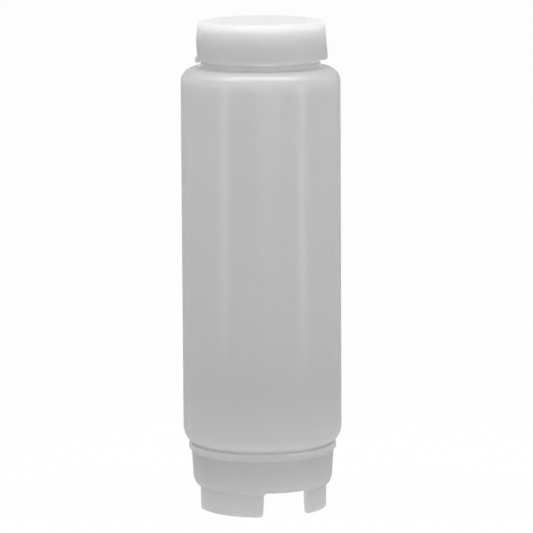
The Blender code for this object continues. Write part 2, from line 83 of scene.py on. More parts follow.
CLOUD_DETAIL = 3.0
SHEEN_DETAIL = 4.0
GRAIN_DETAIL = 2.0
SHEEN_FINENESS = 3.7
SHEEN_SPREAD = 0.12
PARTING_SLOPE = (0.0001, 0.0004)
MIRROR = (0.45, 0.45, 0.45, 1)
# Painted light: the heel and the lowest part of the wall are painted lighter, as if more light reached
# them from the floor.
HEEL_PAINTED_LIGHT = (0.028, 0.060, 0.88, 0.5)
# Painted light: the neck's ledge, in the shade under the lid's rim, is painted lighter.
LEDGE_PAINTED_LIGHT = (0.1962, 0.1955, 0.95, 0.15)


def round_corner(shape, corner, rounding):
    """Rounds a corner of an outline with one radius, or with a radius across and one along."""
    across, along = rounding if isinstance(rounding, tuple) else (rounding, rounding)
    stretch = across / along
    bmesh.ops.scale(shape, vec=(1, 1, stretch), verts=shape.verts)
    one, two = [edge.other_vert(corner).co - corner.co for edge in corner.link_edges]
    reach = across * MM / math.tan(one.angle(two) / 2)
    steps = ROUND_STEPS if across < LARGE_ROUNDING else 4 * ROUND_STEPS
    bmesh.ops.bevel(
        shape, geom=[corner], offset=reach, offset_type="OFFSET", segments=steps, profile=0.5,
        affect="VERTICES", material=-1, clamp_overlap=False,
    )
    bmesh.ops.scale(shape, vec=(1, 1, 1 / stretch), verts=shape.verts)


def draw_outline(corners, closed):
    """A bmesh with the outline as wire in the XZ plane, its corners rounded."""
    shape = bmesh.new()
    points = [shape.verts.new((radius * MM, 0, height * MM)) for radius, height, _ in corners]
    following = points[1:] + points[:1] if closed else points[1:]
    for pair in zip(points, following):
        shape.edges.new(pair)
    for point, (_, _, rounding) in zip(points, corners):
        if rounding:
            round_corner(shape, point, rounding)
    return shape


def add_rows(shape, radius, row):
    """Cuts the wall at a radius, or between two radii, into rows of a given height."""
    low, high = radius if isinstance(radius, tuple) else (radius, radius)
    for edge in list(shape.edges):
        ends = [vert.co.x / MM for vert in edge.verts]
        length = edge.calc_length() / MM
        if min(ends) > low - SAME and max(ends) < high + SAME and length > 4 * row:
            bmesh.ops.subdivide_edges(shape, edges=[edge], cuts=round(length / row))


def copy_round(shape, count):
    """Repeats what is in the bmesh round Z, so many times in the full circle."""
    first = [*shape.verts, *shape.edges, *shape.faces]
    for index in range(1, count):
        made = bmesh.ops.duplicate(shape, geom=first)["geom"]
        moved = [item for item in made if isinstance(item, bmesh.types.BMVert)]
        turn = Matrix.Rotation(math.tau * index / count, 3, "Z")
        bmesh.ops.rotate(shape, verts=moved, cent=Vector(), matrix=turn)


def turn_outline(shape, start=0.0):
    """Turns the wire outline about Z through one sector, and repeats the sector to a full circle."""
    bmesh.ops.rotate(shape, verts=shape.verts, cent=Vector(), matrix=Matrix.Rotation(start, 3, "Z"))
    bmesh.ops.spin(
        shape, geom=[*shape.verts, *shape.edges], cent=Vector(), axis=(0, 0, 1),
        angle=math.tau / SECTORS, steps=TURN_STEPS // SECTORS,
    )
    copy_round(shape, SECTORS)
    bmesh.ops.remove_doubles(shape, verts=shape.verts, dist=WELD)
    bmesh.ops.recalc_face_normals(shape, faces=shape.faces)


def ease(share):
    """A share from 0 to 1 that sets out and arrives gently."""
    return share * share * (3 - 2 * share)


def raise_thread(shape, wall, crest, foot, turns):
    """Moves the wall out, or in, along a right-hand helix. Foot is the helix's height at +X, turn 0."""
    first, last = turns
    for vert in shape.verts:
        radius = math.hypot(vert.co.x, vert.co.y)
        height = vert.co.z / MM
        reach = THREAD_PITCH * (last - first)
        middle = foot + THREAD_PITCH * (first + last) / 2
        if abs(radius / MM - wall) > SAME or abs(height - middle) > reach:
            continue
        angle = math.atan2(vert.co.y, vert.co.x) / math.tau
        turn = angle + round((height - foot) / THREAD_PITCH - angle)
        away = abs(height - foot - THREAD_PITCH * turn)
        flank = (THREAD_ROOT / 2 - away) / ((THREAD_ROOT - THREAD_CREST) / 2)
        end = min(turn - first, last - turn) / THREAD_RUN_OUT
        share = ease(min(max(flank, 0), 1) * min(max(end, 0), 1))
        grown = (wall + (crest - wall) * share) * MM / radius
        vert.co.x *= grown
        vert.co.y *= grown


def make_piece(name, shape, material, sharp=None):
    """An object at the origin from a bmesh, shaded smooth with flat faces kept flat."""
    mesh = bpy.data.meshes.new(name)
    shape.to_mesh(mesh)
    shape.free()
    piece = bpy.data.objects.new(name, mesh)
    bpy.context.scene.collection.objects.link(piece)
    return dress(piece, material, sharp)


def dress(piece, material, sharp=None):
    """Gives a mesh its material and its smooth shading."""
    piece.data.materials.clear()
    piece.data.materials.append(material)
    piece.data.polygons.foreach_set("use_smooth", [True] * len(piece.data.polygons))
    if sharp:
        piece.data.set_sharp_from_angle(angle=sharp)
    if "Even shading" not in piece.modifiers:
        even = piece.modifiers.new("Even shading", "WEIGHTED_NORMAL")
        even.keep_sharp = True
    return piece


class Shade:
    """A shader socket that plain arithmetic can be written on."""

    def __init__(self, tree, socket=None):
        self.tree = tree
        self.socket = socket

    def node(self, kind, settings, inputs, output=0):
        """Adds a node: its settings first, then the values or links of its sockets."""
        made = self.tree.nodes.new(kind)
        for name, value in settings.items():
            setattr(made, name, value)
        for name, value in inputs.items():
            if isinstance(value, Shade):
                self.tree.links.new(value.socket, made.inputs[name])
            else:
                made.inputs[name].default_value = value
        return Shade(self.tree, made.outputs[output])

    def maths(self, operation, one, two=0.0):
        """One step of arithmetic on sockets or numbers."""
        return self.node("ShaderNodeMath", {"operation": operation}, {0: one, 1: two})

    def fade(self, near, far):
        """1 at the near value and beyond it, 0 at the far one and beyond that, smooth between them."""
        return self.node(
            "ShaderNodeMapRange", {"interpolation_type": "SMOOTHSTEP"},
            {0: self, 1: near, 2: far, 3: 1.0, 4: 0.0},
        )

    def __add__(self, other):
        return self.maths("ADD", self, other)

    def __radd__(self, other):
        return self.maths("ADD", other, self)

    def __sub__(self, other):
        return self.maths("SUBTRACT", self, other)

    def __rsub__(self, other):
        return self.maths("SUBTRACT", other, self)

    def __mul__(self, other):
        return self.maths("MULTIPLY", self, other)

    def __rmul__(self, other):
        return self.maths("MULTIPLY", other, self)


def noise(place, scale, detail):
    """Noise on the object's own coordinates, about 0.5. Scale is in features per metre."""
    return place.node("ShaderNodeTexNoise", {}, {"Vector": place, "Scale": scale, "Detail": detail})


def plastic(
    name, colour, mottle, roughness, through, clear, cloud, grain, grain_height, scatter=0.0, ior=1.5,
    parting=0.0, painted_light_and_shade=(), polished=False,
):
    """A moulded plastic: cloudy in colour and sheen, with a fine skin.

    Mottle is how far the colour strays, and cloud and grain are features per metre. Through is the
    share of the light that spreads through the wall, clear is how much of the rest passes straight,
    and scatter is how far light runs inside the wall. Parting is how far the mould's parting line
    stands out, in grain heights. Each band of painted light and shade paints the colour lighter or
    darker between two heights: it gives the height where it is full, the height where it ends, its
    painted colour and its own share of light through. Grain height, scatter and these heights are in
    metres. Polished gives the part that spreads light through the wall a mirror skin too.
    """
    made = bpy.data.materials.new(name)
    made.use_nodes = True
    tree = made.node_tree
    shader = tree.nodes["Principled BSDF"]
    place = Shade(tree).node("ShaderNodeTexCoord", {}, {}, "Object")
    clouds = noise(place, cloud, CLOUD_DETAIL)
    darker = (*[part * (1 - mottle) for part in colour], 1)
    lighter = (*[min(part * (1 + mottle), 1) for part in colour], 1)
    tone = place.node("ShaderNodeMix", {"data_type": "RGBA"}, {0: clouds, 6: darker, 7: lighter}, 2)
    passed = through
    # Each band paints the colour lighter or darker between two heights: painted light and painted shade.
    for full, end, painted_grey, share in painted_light_and_shade:
        painted_band = place.node("ShaderNodeSeparateXYZ", {}, {0: place}, 2).fade(full, end)
        tone = place.node(
            "ShaderNodeMix", {"data_type": "RGBA"}, {0: painted_band, 6: tone, 7: (painted_grey, painted_grey, painted_grey, 1)}, 2
        )
        passed = painted_band * (share - passed) + passed
    sheen = noise(place, cloud * SHEEN_FINENESS, SHEEN_DETAIL)
    sheen = sheen * SHEEN_SPREAD + (roughness - SHEEN_SPREAD / 2)
    relief = noise(place, grain, GRAIN_DETAIL)
    if parting:
        aside = place.node("ShaderNodeSeparateXYZ", {}, {0: place}, 1)
        relief = relief + parting * aside.maths("ABSOLUTE", aside).fade(*PARTING_SLOPE)
    bump = place.node("ShaderNodeBump", {}, {"Strength": 1.0, "Distance": grain_height, "Height": relief})
    tree.links.new(tone.socket, shader.inputs["Base Color"])
    tree.links.new(sheen.socket, shader.inputs["Roughness"])
    tree.links.new(bump.socket, shader.inputs["Normal"])
    shader.inputs["IOR"].default_value = ior
    shader.inputs["Transmission Weight"].default_value = clear
    if scatter:
        shader.inputs["Subsurface Weight"].default_value = 1.0
        shader.inputs["Subsurface Scale"].default_value = scatter
        shader.inputs["Subsurface Radius"].default_value = (1, 1, 1)
    if through:
        solid = Shade(tree, shader.outputs[0])
        milk = place.node("ShaderNodeBsdfTranslucent", {}, {"Color": (*colour, 1), "Normal": bump})
        wall = place.node("ShaderNodeMixShader", {}, {0: passed, 1: solid, 2: milk})
        if polished:
            inside = place.node("ShaderNodeNewGeometry", {}, {}, "Backfacing")
            grazing = place.node("ShaderNodeFresnel", {}, {"IOR": ior, "Normal": bump})
            mirrored = grazing * (1 - inside) * passed
            skin = place.node(
                "ShaderNodeBsdfAnisotropic", {}, {"Color": MIRROR, "Roughness": sheen, "Normal": bump}
            )
            wall = place.node("ShaderNodeMixShader", {}, {0: mirrored, 1: wall, 2: skin})
        tree.links.new(wall.socket, tree.nodes["Material Output"].inputs["Surface"])
    return made


# The bottle's heel and its ledge under the lid are painted lighter: painted light.
milky = plastic(
    "milky_polyethylene", colour=(0.825, 0.825, 0.825), mottle=0.02, roughness=0.22, through=0.76,
    clear=0.15, cloud=45, grain=900, grain_height=0.000012, scatter=0.001, parting=6.0, polished=True,
    painted_light_and_shade=(HEEL_PAINTED_LIGHT, LEDGE_PAINTED_LIGHT),
)
shape = draw_outline(
    [
        (NECK_RADIUS, UPPER_RIM, RIM_ROUNDING), (NECK_RADIUS, LEDGE, 0.3), (LEDGE_RADIUS, LEDGE, 0.12),
        (LEDGE_FOOT_RADIUS, SHOULDER, 0.9), (BODY_RADIUS, SHOULDER, SHOULDER_ROUNDING),
        (BODY_RADIUS, HEEL, HEEL_ROUNDING), (NECK_RADIUS, HEEL, 0.5),
        (NECK_RADIUS, LOWER_RIM, RIM_ROUNDING), (NECK_BORE, LOWER_RIM, RIM_ROUNDING),
        (NECK_BORE, HEEL_INSIDE, 0.8), (BODY_BORE, HEEL_INSIDE, HEEL_INSIDE_ROUNDING),
        (BODY_BORE, SHOULDER_INSIDE, SHOULDER_INSIDE_ROUNDING), (NECK_BORE, SHOULDER_INSIDE, 0.8),
        (NECK_BORE, UPPER_RIM, RIM_ROUNDING),
    ],
    True,
)
add_rows(shape, NECK_RADIUS, THREAD_ROW)
turn_outline(shape)
for foot in NECK_THREADS:
    raise_thread(shape, NECK_RADIUS, NECK_CREST, foot, NECK_TURNS)
bottle = make_piece("bottle", shape, milky)
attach(bottle, "bottle")
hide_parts("bottle_body")

# Dispensing cap: the screw cap that the bottle stands on, injection moulded in one piece. It has a
# flared skirt with a bead at its mouth, a threaded sleeve inside the skirt, a deck with the valve's
# seat, and a ring below the deck that three notches cut into feet.
FOOT_RADIUS = 28.1
FOOT_WALL = 1.9
DECK_UNDERSIDE = 11.2
ROUND_CENTRE = (27.4, 15.5)
ROUND_SIZE = (3.4, 5.9)
NOTCH_HALF_WIDTHS = (10.05, 9.55)
NOTCH_HEIGHT = 10.9
NOTCH_CORNER = 0.9
FOOT_CORNER = 1.8
FOOT_EDGE = 0.3
EDGE_STEPS = 3
FOOT_ROWS = (5.0, 9.68, 9.9, 10.2, 10.55, 10.8)
NOTCHES = 3
FIRST_NOTCH = math.radians(-68.8)
STRAIGHT_NOTCH = math.radians(22)
SIDE_STEPS = 8
SKIRT_RADIUS = 31.45
SKIRT_TOP = 25.4
SKIRT_BORE = 29.3
BEAD_RADIUS = 32.6
BEAD_LOW = 26.8
BEAD_HIGH = 28.8
MOUTH_RADIUS = 31.5
MOUTH = 29.3
MOUTH_BEVEL = 28.28
MOUTH_BORE = 29.95
DECK = 13.0
SLEEVE_RADIUS = 26.8
SLEEVE_TOP = 26.8
SEAT_RADIUS = 18.7
SEAT_TOP = 18.2
SEAT_BORE = 17.5
SEAT_LIP_RADIUS = 16.8
SEAT_LIP = 17.4
OPENING_RADIUS = 10.5
BORE_RADIUS = 25.1
BORE_CREST = 24.1
SLEEVE_THREAD = 18.915
SLEEVE_TURNS = (0.21, 1.2)
# Painted shade: the feet, up to the tops of the notches, are painted darker.
FEET_PAINTED_SHADE = (0.0085, 0.0110, 0.78, 0.58)
# Painted light: the bead's top and the skirt's mouth, in the crevice under the heel, are painted lighter.
BEAD_PAINTED_LIGHT = (0.0282, 0.0268, 0.97, 0.25)


def cap_radius(height):
    """Outer radius of the foot ring, and of the rounding above it, at a height below the skirt."""
    drop = (ROUND_CENTRE[1] - height) / ROUND_SIZE[1]
    if drop >= 1:
        return FOOT_RADIUS
    return max(FOOT_RADIUS, ROUND_CENTRE[0] + ROUND_SIZE[0] * math.sqrt(1 - drop * drop))


def bend_foot(point):
    """Takes a point of the flat foot strip (along, depth, height) to its place round the cap."""
    half = math.pi / NOTCHES
    along = point.x / MM / FOOT_RADIUS
    share = point.y / MM / FOOT_WALL
    height = point.z / MM
    radius = cap_radius(height) * (1 - share) + (FOOT_RADIUS - FOOT_WALL) * share
    near = min(max(along, -STRAIGHT_NOTCH), STRAIGHT_NOTCH)
    turned = math.asin(math.sin(near) * FOOT_RADIUS / radius) - near
    turned *= min((half - abs(along)) / (half - STRAIGHT_NOTCH), 1)
    turned *= min((DECK_UNDERSIDE - height) / (DECK_UNDERSIDE - NOTCH_HEIGHT), 1)
    angle = along + turned
    return Vector((radius * math.cos(angle), radius * math.sin(angle), height)) * MM


def foot_ring():
    """The foot ring: a flat strip with one notch, its edges rounded, bent round and repeated."""
    half = math.pi / NOTCHES * FOOT_RADIUS
    low, high = [math.asin(width / FOOT_RADIUS) * FOOT_RADIUS for width in NOTCH_HALF_WIDTHS]
    corners = [(-half, 0, 0), (-low, 0, FOOT_CORNER), (-high, NOTCH_HEIGHT, NOTCH_CORNER)]
    corners += [(-along, height, rounding) for along, height, rounding in reversed(corners)]
    corners += [(half, DECK_UNDERSIDE, 0), (-half, DECK_UNDERSIDE, 0)]
    strip = draw_outline(corners, True)
    bmesh.ops.contextual_create(strip, geom=strip.edges)
    grown = bmesh.ops.extrude_face_region(strip, geom=strip.faces)["geom"]
    moved = [item for item in grown if isinstance(item, bmesh.types.BMVert)]
    bmesh.ops.translate(strip, vec=(0, FOOT_WALL * MM, 0), verts=moved)
    bmesh.ops.recalc_face_normals(strip, faces=strip.faces)

    def lies_open(item):
        """An end or top face of the strip, which the rest of the cap takes the place of."""
        middle = item.calc_center_median()
        at_end = abs(abs(middle.x) / MM - half) < 10 * SAME
        return at_end or abs(middle.z / MM - DECK_UNDERSIDE) < 10 * SAME

    rims = [
        edge for edge in strip.edges
        if abs(edge.verts[0].co.y - edge.verts[1].co.y) < WELD
        and sum(lies_open(face) for face in edge.link_faces) == 0
        and len({abs(face.normal.y) > 0.5 for face in edge.link_faces}) == 2
    ]
    bmesh.ops.bevel(
        strip, geom=rims, offset=FOOT_EDGE * MM, offset_type="OFFSET", segments=EDGE_STEPS,
        profile=0.5, affect="EDGES", material=-1, clamp_overlap=False,
    )
    hidden = [face for face in strip.faces if lies_open(face)]
    bmesh.ops.delete(strip, geom=hidden, context="FACES_ONLY")
    left = [edge for edge in strip.edges if not edge.link_faces]
    bmesh.ops.delete(strip, geom=left, context="EDGES")
    columns = TURN_STEPS // NOTCHES
    cuts = [((half * (2 * column / columns - 1), 0, 0), (1, 0, 0)) for column in range(1, columns)]
    cuts += [((0, 0, height), (0, 0, 1)) for height in FOOT_ROWS]
    for place, normal in cuts:
        bmesh.ops.bisect_plane(
            strip, geom=[*strip.verts, *strip.edges, *strip.faces], dist=WELD / 10,
            plane_co=Vector(place) * MM, plane_no=normal,
        )
    for vert in strip.verts:
        vert.co = bend_foot(vert.co)
    turn = Matrix.Rotation(FIRST_NOTCH, 3, "Z")
    bmesh.ops.rotate(strip, verts=strip.verts, cent=Vector(), matrix=turn)
    copy_round(strip, NOTCHES)
    mesh = bpy.data.meshes.new("foot_ring")
    strip.to_mesh(mesh)
    strip.free()
    return mesh


MOULDED = {
    "colour": (0.885, 0.885, 0.885), "mottle": 0.015, "roughness": 0.22, "through": 0.58, "clear": 0.25,
    "cloud": 60, "grain": 1400, "grain_height": 0.000004, "scatter": 0.001,
}
# The cap's feet are painted darker and its bead lighter: painted shade and painted light.
cap_plastic = plastic("moulded_polyethylene", **MOULDED, polished=True, painted_light_and_shade=(FEET_PAINTED_SHADE, BEAD_PAINTED_LIGHT))
rounding_low = math.asin((ROUND_CENTRE[1] - DECK_UNDERSIDE) / ROUND_SIZE[1])
cap_side = []
for step in range(SIDE_STEPS + 1):
    angle = rounding_low * (1 - step / SIDE_STEPS)
    radius = ROUND_CENTRE[0] + ROUND_SIZE[0] * math.cos(angle)
    cap_side.append((radius, ROUND_CENTRE[1] - ROUND_SIZE[1] * math.sin(angle), 0))
shape = draw_outline(
    [
        *cap_side,
        (SKIRT_RADIUS, SKIRT_TOP, 1.0), (BEAD_RADIUS, BEAD_LOW, 0.9),
        (BEAD_RADIUS, BEAD_HIGH, 0.8), (MOUTH_RADIUS, MOUTH, 0.08),
        (MOUTH_BORE, MOUTH_BEVEL, 0.2), (SKIRT_BORE, DECK, 0.8), (SLEEVE_RADIUS, DECK, 0.6),
        (SLEEVE_RADIUS, SLEEVE_TOP, 0.4), (BORE_RADIUS, SLEEVE_TOP, 0.4), (BORE_RADIUS, DECK, 0.3),
        (SEAT_RADIUS, DECK, 0.3), (SEAT_RADIUS, SEAT_TOP, 0.2), (SEAT_LIP_RADIUS, SEAT_TOP, 0.25),
        (SEAT_LIP_RADIUS, SEAT_LIP, 0.15), (SEAT_BORE, SEAT_LIP, 0.1), (SEAT_BORE, DECK, 0.2),
        (OPENING_RADIUS, DECK, 0.3), (OPENING_RADIUS, DECK_UNDERSIDE, 0.3),
        (FOOT_RADIUS - FOOT_WALL, DECK_UNDERSIDE, 0),
    ],
    False,
)
add_rows(shape, BORE_RADIUS, THREAD_ROW)
turn_outline(shape, FIRST_NOTCH)
raise_thread(shape, BORE_RADIUS, BORE_CREST, SLEEVE_THREAD, SLEEVE_TURNS)
shape.from_mesh(foot_ring())
bmesh.ops.remove_doubles(shape, verts=shape.verts, dist=5 * WELD)
bmesh.ops.recalc_face_normals(shape, faces=shape.faces)
cap = make_piece("dispensing_cap_skirt_and_feet", shape, cap_plastic)
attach(cap, "cap")
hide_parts("dispensing_cap")

# Seals: flat rings of closed-cell foam, cut from sheet. Each lies between a neck's rim and the deck
# that closes it.
SEAL_RADIUS = 24.8
SEAL_BORE = 22.0
SEAL_THICKNESS = 1.0
SEAL_ROUNDING = 0.12
LOWER_SEAL = 13.3
UPPER_SEAL = 207.2

foam = plastic(
    "seal_foam", colour=(0.84, 0.84, 0.83), mottle=0.04, roughness=0.72, through=0.0, clear=0.0,
    cloud=300, grain=3500, grain_height=0.00005,
)
for name, body, node, low in (
    ("lower_seal_ring", "lower_seal", "dispensing_seal", LOWER_SEAL),
    ("upper_seal_ring", "upper_seal", "refill_seal", UPPER_SEAL),
):
    high = low + SEAL_THICKNESS
    section = [(SEAL_RADIUS, high), (SEAL_RADIUS, low), (SEAL_BORE, low), (SEAL_BORE, high)]
    shape = draw_outline([(*point, SEAL_ROUNDING) for point in section], True)
    turn_outline(shape)
    ring = make_piece(name, shape, foam)
    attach(ring, body)
    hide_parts(node)

# Slit valve: clear silicone, moulded soft. Its flange lies on the cap's deck, its throat hangs through
# the opening, and a cross slit in its domed floor lets the sauce out and closes again.
FLANGE_RADIUS = 16.0
FLANGE_LOW = 13.3
FLANGE_HIGH = 14.8
THROAT_RADIUS = 9.8
THROAT_BORE = 8.9
DOME_ROUNDING = 8.0
DOME_BENDS = (5.2, 5.0)
DOME_UNDERSIDE = (6.9, 7.05, 8.1)
DOME_INSIDE = (7.8, 7.95, 8.95)
SLIT_REACH = 5.5
SLIT_WIDTH = 0.3
SLIT_LOW = 6.0
SLIT_HIGH = 9.0
CREASE = math.radians(40)

silicone = plastic(
    "clear_silicone", colour=(0.74, 0.75, 0.74), mottle=0.02, roughness=0.42, through=0.4, clear=0.5,
    cloud=90, grain=2200, grain_height=0.00001, ior=1.41,
)


def combine(piece, other, operation):
    """Joins two solids, or cuts one with the other, and leaves one mesh."""
    step = piece.modifiers.new(other.name, "BOOLEAN")
    step.operation = operation
    step.solver = "EXACT"
    step.object = other
    bpy.context.view_layer.update()
    shape = bmesh.new()
    shape.from_object(piece, bpy.context.evaluated_depsgraph_get())
    bmesh.ops.remove_doubles(shape, verts=shape.verts, dist=WELD)
    piece.modifiers.clear()
    shape.to_mesh(piece.data)
    shape.free()
    bpy.data.objects.remove(other, do_unlink=True)


def block(name, low, high, material):
    """A block between two corners, to cut with."""
    shape = bmesh.new()
    bmesh.ops.create_cube(shape, size=MM)
    bmesh.ops.scale(shape, vec=Vector(high) - Vector(low), verts=shape.verts)
    bmesh.ops.translate(shape, vec=(Vector(high) + Vector(low)) * MM / 2, verts=shape.verts)
    return make_piece(name, shape, material)


shape = draw_outline(
    [
        (0, DOME_UNDERSIDE[0], 0), (DOME_BENDS[0], DOME_UNDERSIDE[1], DOME_ROUNDING),
        (THROAT_RADIUS, DOME_UNDERSIDE[2], 0.8), (THROAT_RADIUS, FLANGE_LOW, 0.3),
        (FLANGE_RADIUS, FLANGE_LOW, 0.3), (FLANGE_RADIUS, FLANGE_HIGH, 0.3),
        (THROAT_BORE, FLANGE_HIGH, 0.4), (THROAT_BORE, DOME_INSIDE[2], 0.8),
        (DOME_BENDS[1], DOME_INSIDE[1], DOME_ROUNDING), (0, DOME_INSIDE[0], 0),
    ],
    False,
)
turn_outline(shape)
valve = make_piece("cross_slit_valve", shape, silicone)
for x, y in ((SLIT_REACH, SLIT_WIDTH / 2), (SLIT_WIDTH / 2, SLIT_REACH)):
    slit = block("slit", (-x, -y, SLIT_LOW), (x, y, SLIT_HIGH), silicone)
    combine(valve, slit, "DIFFERENCE")
dress(valve, silicone, CREASE)
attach(valve, "cap")
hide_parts("slit_valve")

# Valve retainer: a stiff ring of moulded polypropylene. It is pressed past the lip of the cap's seat, so
# that it holds the valve's flange down.
RING_RADIUS = 17.2
RING_BORE = 11.5
RING_LOW = 15.1
RING_HIGH = 17.1

ring_plastic = plastic(
    "ring_polypropylene", colour=(0.80, 0.80, 0.79), mottle=0.02, roughness=0.38, through=0.3, clear=0.0,
    cloud=90, grain=1800, grain_height=0.00001,
)
shape = draw_outline(
    [
        (RING_RADIUS, RING_HIGH, 0.4), (RING_RADIUS, RING_LOW, 0.25),
        (RING_BORE, RING_LOW, 0.25), (RING_BORE, RING_HIGH, 0.35),
    ],
    True,
)
turn_outline(shape)
retainer = make_piece("snap_ring", shape, ring_plastic)
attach(retainer, "cap")
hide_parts("valve_retainer")

# Refill collar: the threaded ring that clamps the upper seal and carries the lid. A lip stands round
# its opening, and a thin ear at its foot, bent to the lid's round, holds the lid's moulded hinge. It
# is moulded like the cap, and its foot, in the shade under the lid's rim, is painted lighter: painted
# light.
COLLAR_FOOT_RADIUS = 26.2
COLLAR_TOP_RADIUS = 25.8
COLLAR_FOOT = 197.8
COLLAR_TOP = 209.8
COLLAR_CEILING = 208.5
POURING_LIP_RADIUS = 20.2
POURING_LIP_BORE = 19.0
POURING_LIP = 211.8
LID_OFFSET = 0.4
HINGE_RADIUS = 28.95
EAR_ROOT = 25.4
EAR_TOP = 199.4
EAR_BEND = 28.0
EAR_UNDERSIDE = (198.8, 198.95, 199.2)
EAR_ANGLE = math.radians(28)
COLLAR_THREAD = 197.485
COLLAR_TURNS = (0.605, 1.6)
# Painted light: the collar's foot, in the shade under the lid's rim, is painted lighter.
COLLAR_FOOT_PAINTED_LIGHT = (0.1995, 0.2005, 0.95, 0.1)

# The collar's foot is painted lighter: painted light.
collar_plastic = plastic("collar_polyethylene", **MOULDED, painted_light_and_shade=(COLLAR_FOOT_PAINTED_LIGHT,))


def bent_bar(corners, middle, span):
    """A bar of this section, bent round the lid's axis. Middle and span are angles from +X."""
    shape = draw_outline(corners, True)
    bmesh.ops.contextual_create(shape, geom=shape.edges)
    turn = Matrix.Rotation(middle - span / 2, 3, "Z")
    bmesh.ops.rotate(shape, verts=shape.verts, cent=Vector(), matrix=turn)
    bmesh.ops.spin(
        shape, geom=[*shape.verts, *shape.edges, *shape.faces], cent=Vector(), axis=(0, 0, 1),
        angle=span, steps=round(span / math.tau * TURN_STEPS),
    )
    bmesh.ops.recalc_face_normals(shape, faces=shape.faces)
    return shape


def set_on_lid_axis(shape):
    """Moves a shape from the bottle's axis to the lid's, which stands nearer to the hinge."""
    bmesh.ops.translate(shape, vec=(LID_OFFSET * MM, 0, 0), verts=shape.verts)


shape = draw_outline(
    [
        (POURING_LIP_RADIUS, POURING_LIP, RIM_ROUNDING), (POURING_LIP_RADIUS, COLLAR_TOP, 0.3),
        (COLLAR_TOP_RADIUS, COLLAR_TOP, 0.7), (COLLAR_FOOT_RADIUS, COLLAR_FOOT, 0.1),
        (BORE_RADIUS, COLLAR_FOOT, 0.3), (BORE_RADIUS, COLLAR_CEILING, 0.2),
        (POURING_LIP_BORE, COLLAR_CEILING, 0.2), (POURING_LIP_BORE, POURING_LIP, RIM_ROUNDING),
    ],
    True,
)
add_rows(shape, BORE_RADIUS, THREAD_ROW)
turn_outline(shape)
raise_thread(shape, BORE_RADIUS, BORE_CREST, COLLAR_THREAD, COLLAR_TURNS)
collar = make_piece("refill_screw_collar", shape, collar_plastic)
shape = bent_bar(
    [
        (EAR_ROOT, EAR_UNDERSIDE[0], 0), (EAR_BEND, EAR_UNDERSIDE[1], 0.5),
        (HINGE_RADIUS, EAR_UNDERSIDE[2], 0.08), (HINGE_RADIUS, EAR_TOP, 0.08), (EAR_ROOT, EAR_TOP, 0),
    ],
    0, EAR_ANGLE,
)
set_on_lid_axis(shape)
combine(collar, make_piece("ear", shape, collar_plastic), "UNION")
dress(collar, collar_plastic, CREASE)
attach(collar, "collar")
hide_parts("refill_collar")

# Refill lid: a deep flip lid of white polyethylene, injection moulded. A ring under its top seals round
# the collar's lip. Its rim has a thumb lip, with the wall above the lip drawn in flat so that a thumb
# finds it.
LID_RIM_RADIUS = 29.15
LID_RIM = 199.5
LID_DRAFT = 0.0853
LID_TOP = 215.9
LID_RING = 215.5
LID_RING_RADIUS = 27.785
DISC_RADIUS = 23.73
DISC_FOOT_RADIUS = 24.2
LID_CEILING = 213.9
LID_RIM_BORE = 27.3
LID_TOP_BORE = 26.6
PLUG_RADIUS = 22.0
PLUG_BORE = 21.0
PLUG_END = 210.3
FLAT_LOW = 199.8
FLAT_HIGH = 207.3
FLAT_DEPTH = 1.25
LIP_ANGLE = math.radians(48)
LIP_RUN_OUT = math.radians(14)
LIP_END_HEIGHT = 199.7
LIP_END_REACH = 28.8
LIP_ROOT = 27.65
LIP_TIP = 29.1
LIP_LOW = 197.8
LIP_HIGH = 199.8
LID_ROW = 0.4
ROWS_FROM = 27.8
SKIN_DEPTH = 0.05
EAR_ROOM = ((24.5, -7.3, 197.0), (32.0, 7.3, 200.0))

lid_plastic = plastic(
    "lid_polyethylene", colour=(0.855, 0.855, 0.855), mottle=0.012, roughness=0.36, through=0.68,
    clear=0.0, cloud=60, grain=1400, grain_height=0.00001, scatter=0.001,
)


def lid_wall(height):
    """Outer radius of the lid's wall at a height."""
    return LID_RIM_RADIUS - LID_DRAFT * (height - LID_RIM)


shape = draw_outline(
    [
        (0, LID_TOP, 0), (DISC_RADIUS, LID_TOP, 0.5), (DISC_FOOT_RADIUS, LID_RING, 0.5),
        (LID_RING_RADIUS, LID_RING, 1.7), (LID_RIM_RADIUS, LID_RIM, RIM_ROUNDING),
        (LID_RIM_BORE, LID_RIM, RIM_ROUNDING), (LID_TOP_BORE, LID_CEILING, 0.6),
        (PLUG_RADIUS, LID_CEILING, 0.3), (PLUG_RADIUS, PLUG_END, 0.3), (PLUG_BORE, PLUG_END, 0.3),
        (PLUG_BORE, LID_CEILING, 0.3), (0, LID_CEILING, 0),
    ],
    False,
)
add_rows(shape, (ROWS_FROM, LID_RIM_RADIUS), LID_ROW)
turn_outline(shape)
for vert in shape.verts:
    height = vert.co.z / MM
    radius = math.hypot(vert.co.x, vert.co.y) / MM
    if FLAT_LOW < height < FLAT_HIGH and radius > lid_wall(height) - SKIN_DEPTH:
        share = (height - FLAT_LOW) / (FLAT_HIGH - FLAT_LOW)
        flat = (lid_wall(FLAT_LOW) - FLAT_DEPTH) * (1 - share) + lid_wall(FLAT_HIGH) * share
        vert.co.x = max(vert.co.x, -flat * MM)
set_on_lid_axis(shape)
lid = make_piece("refill_flip_lid", shape, lid_plastic)

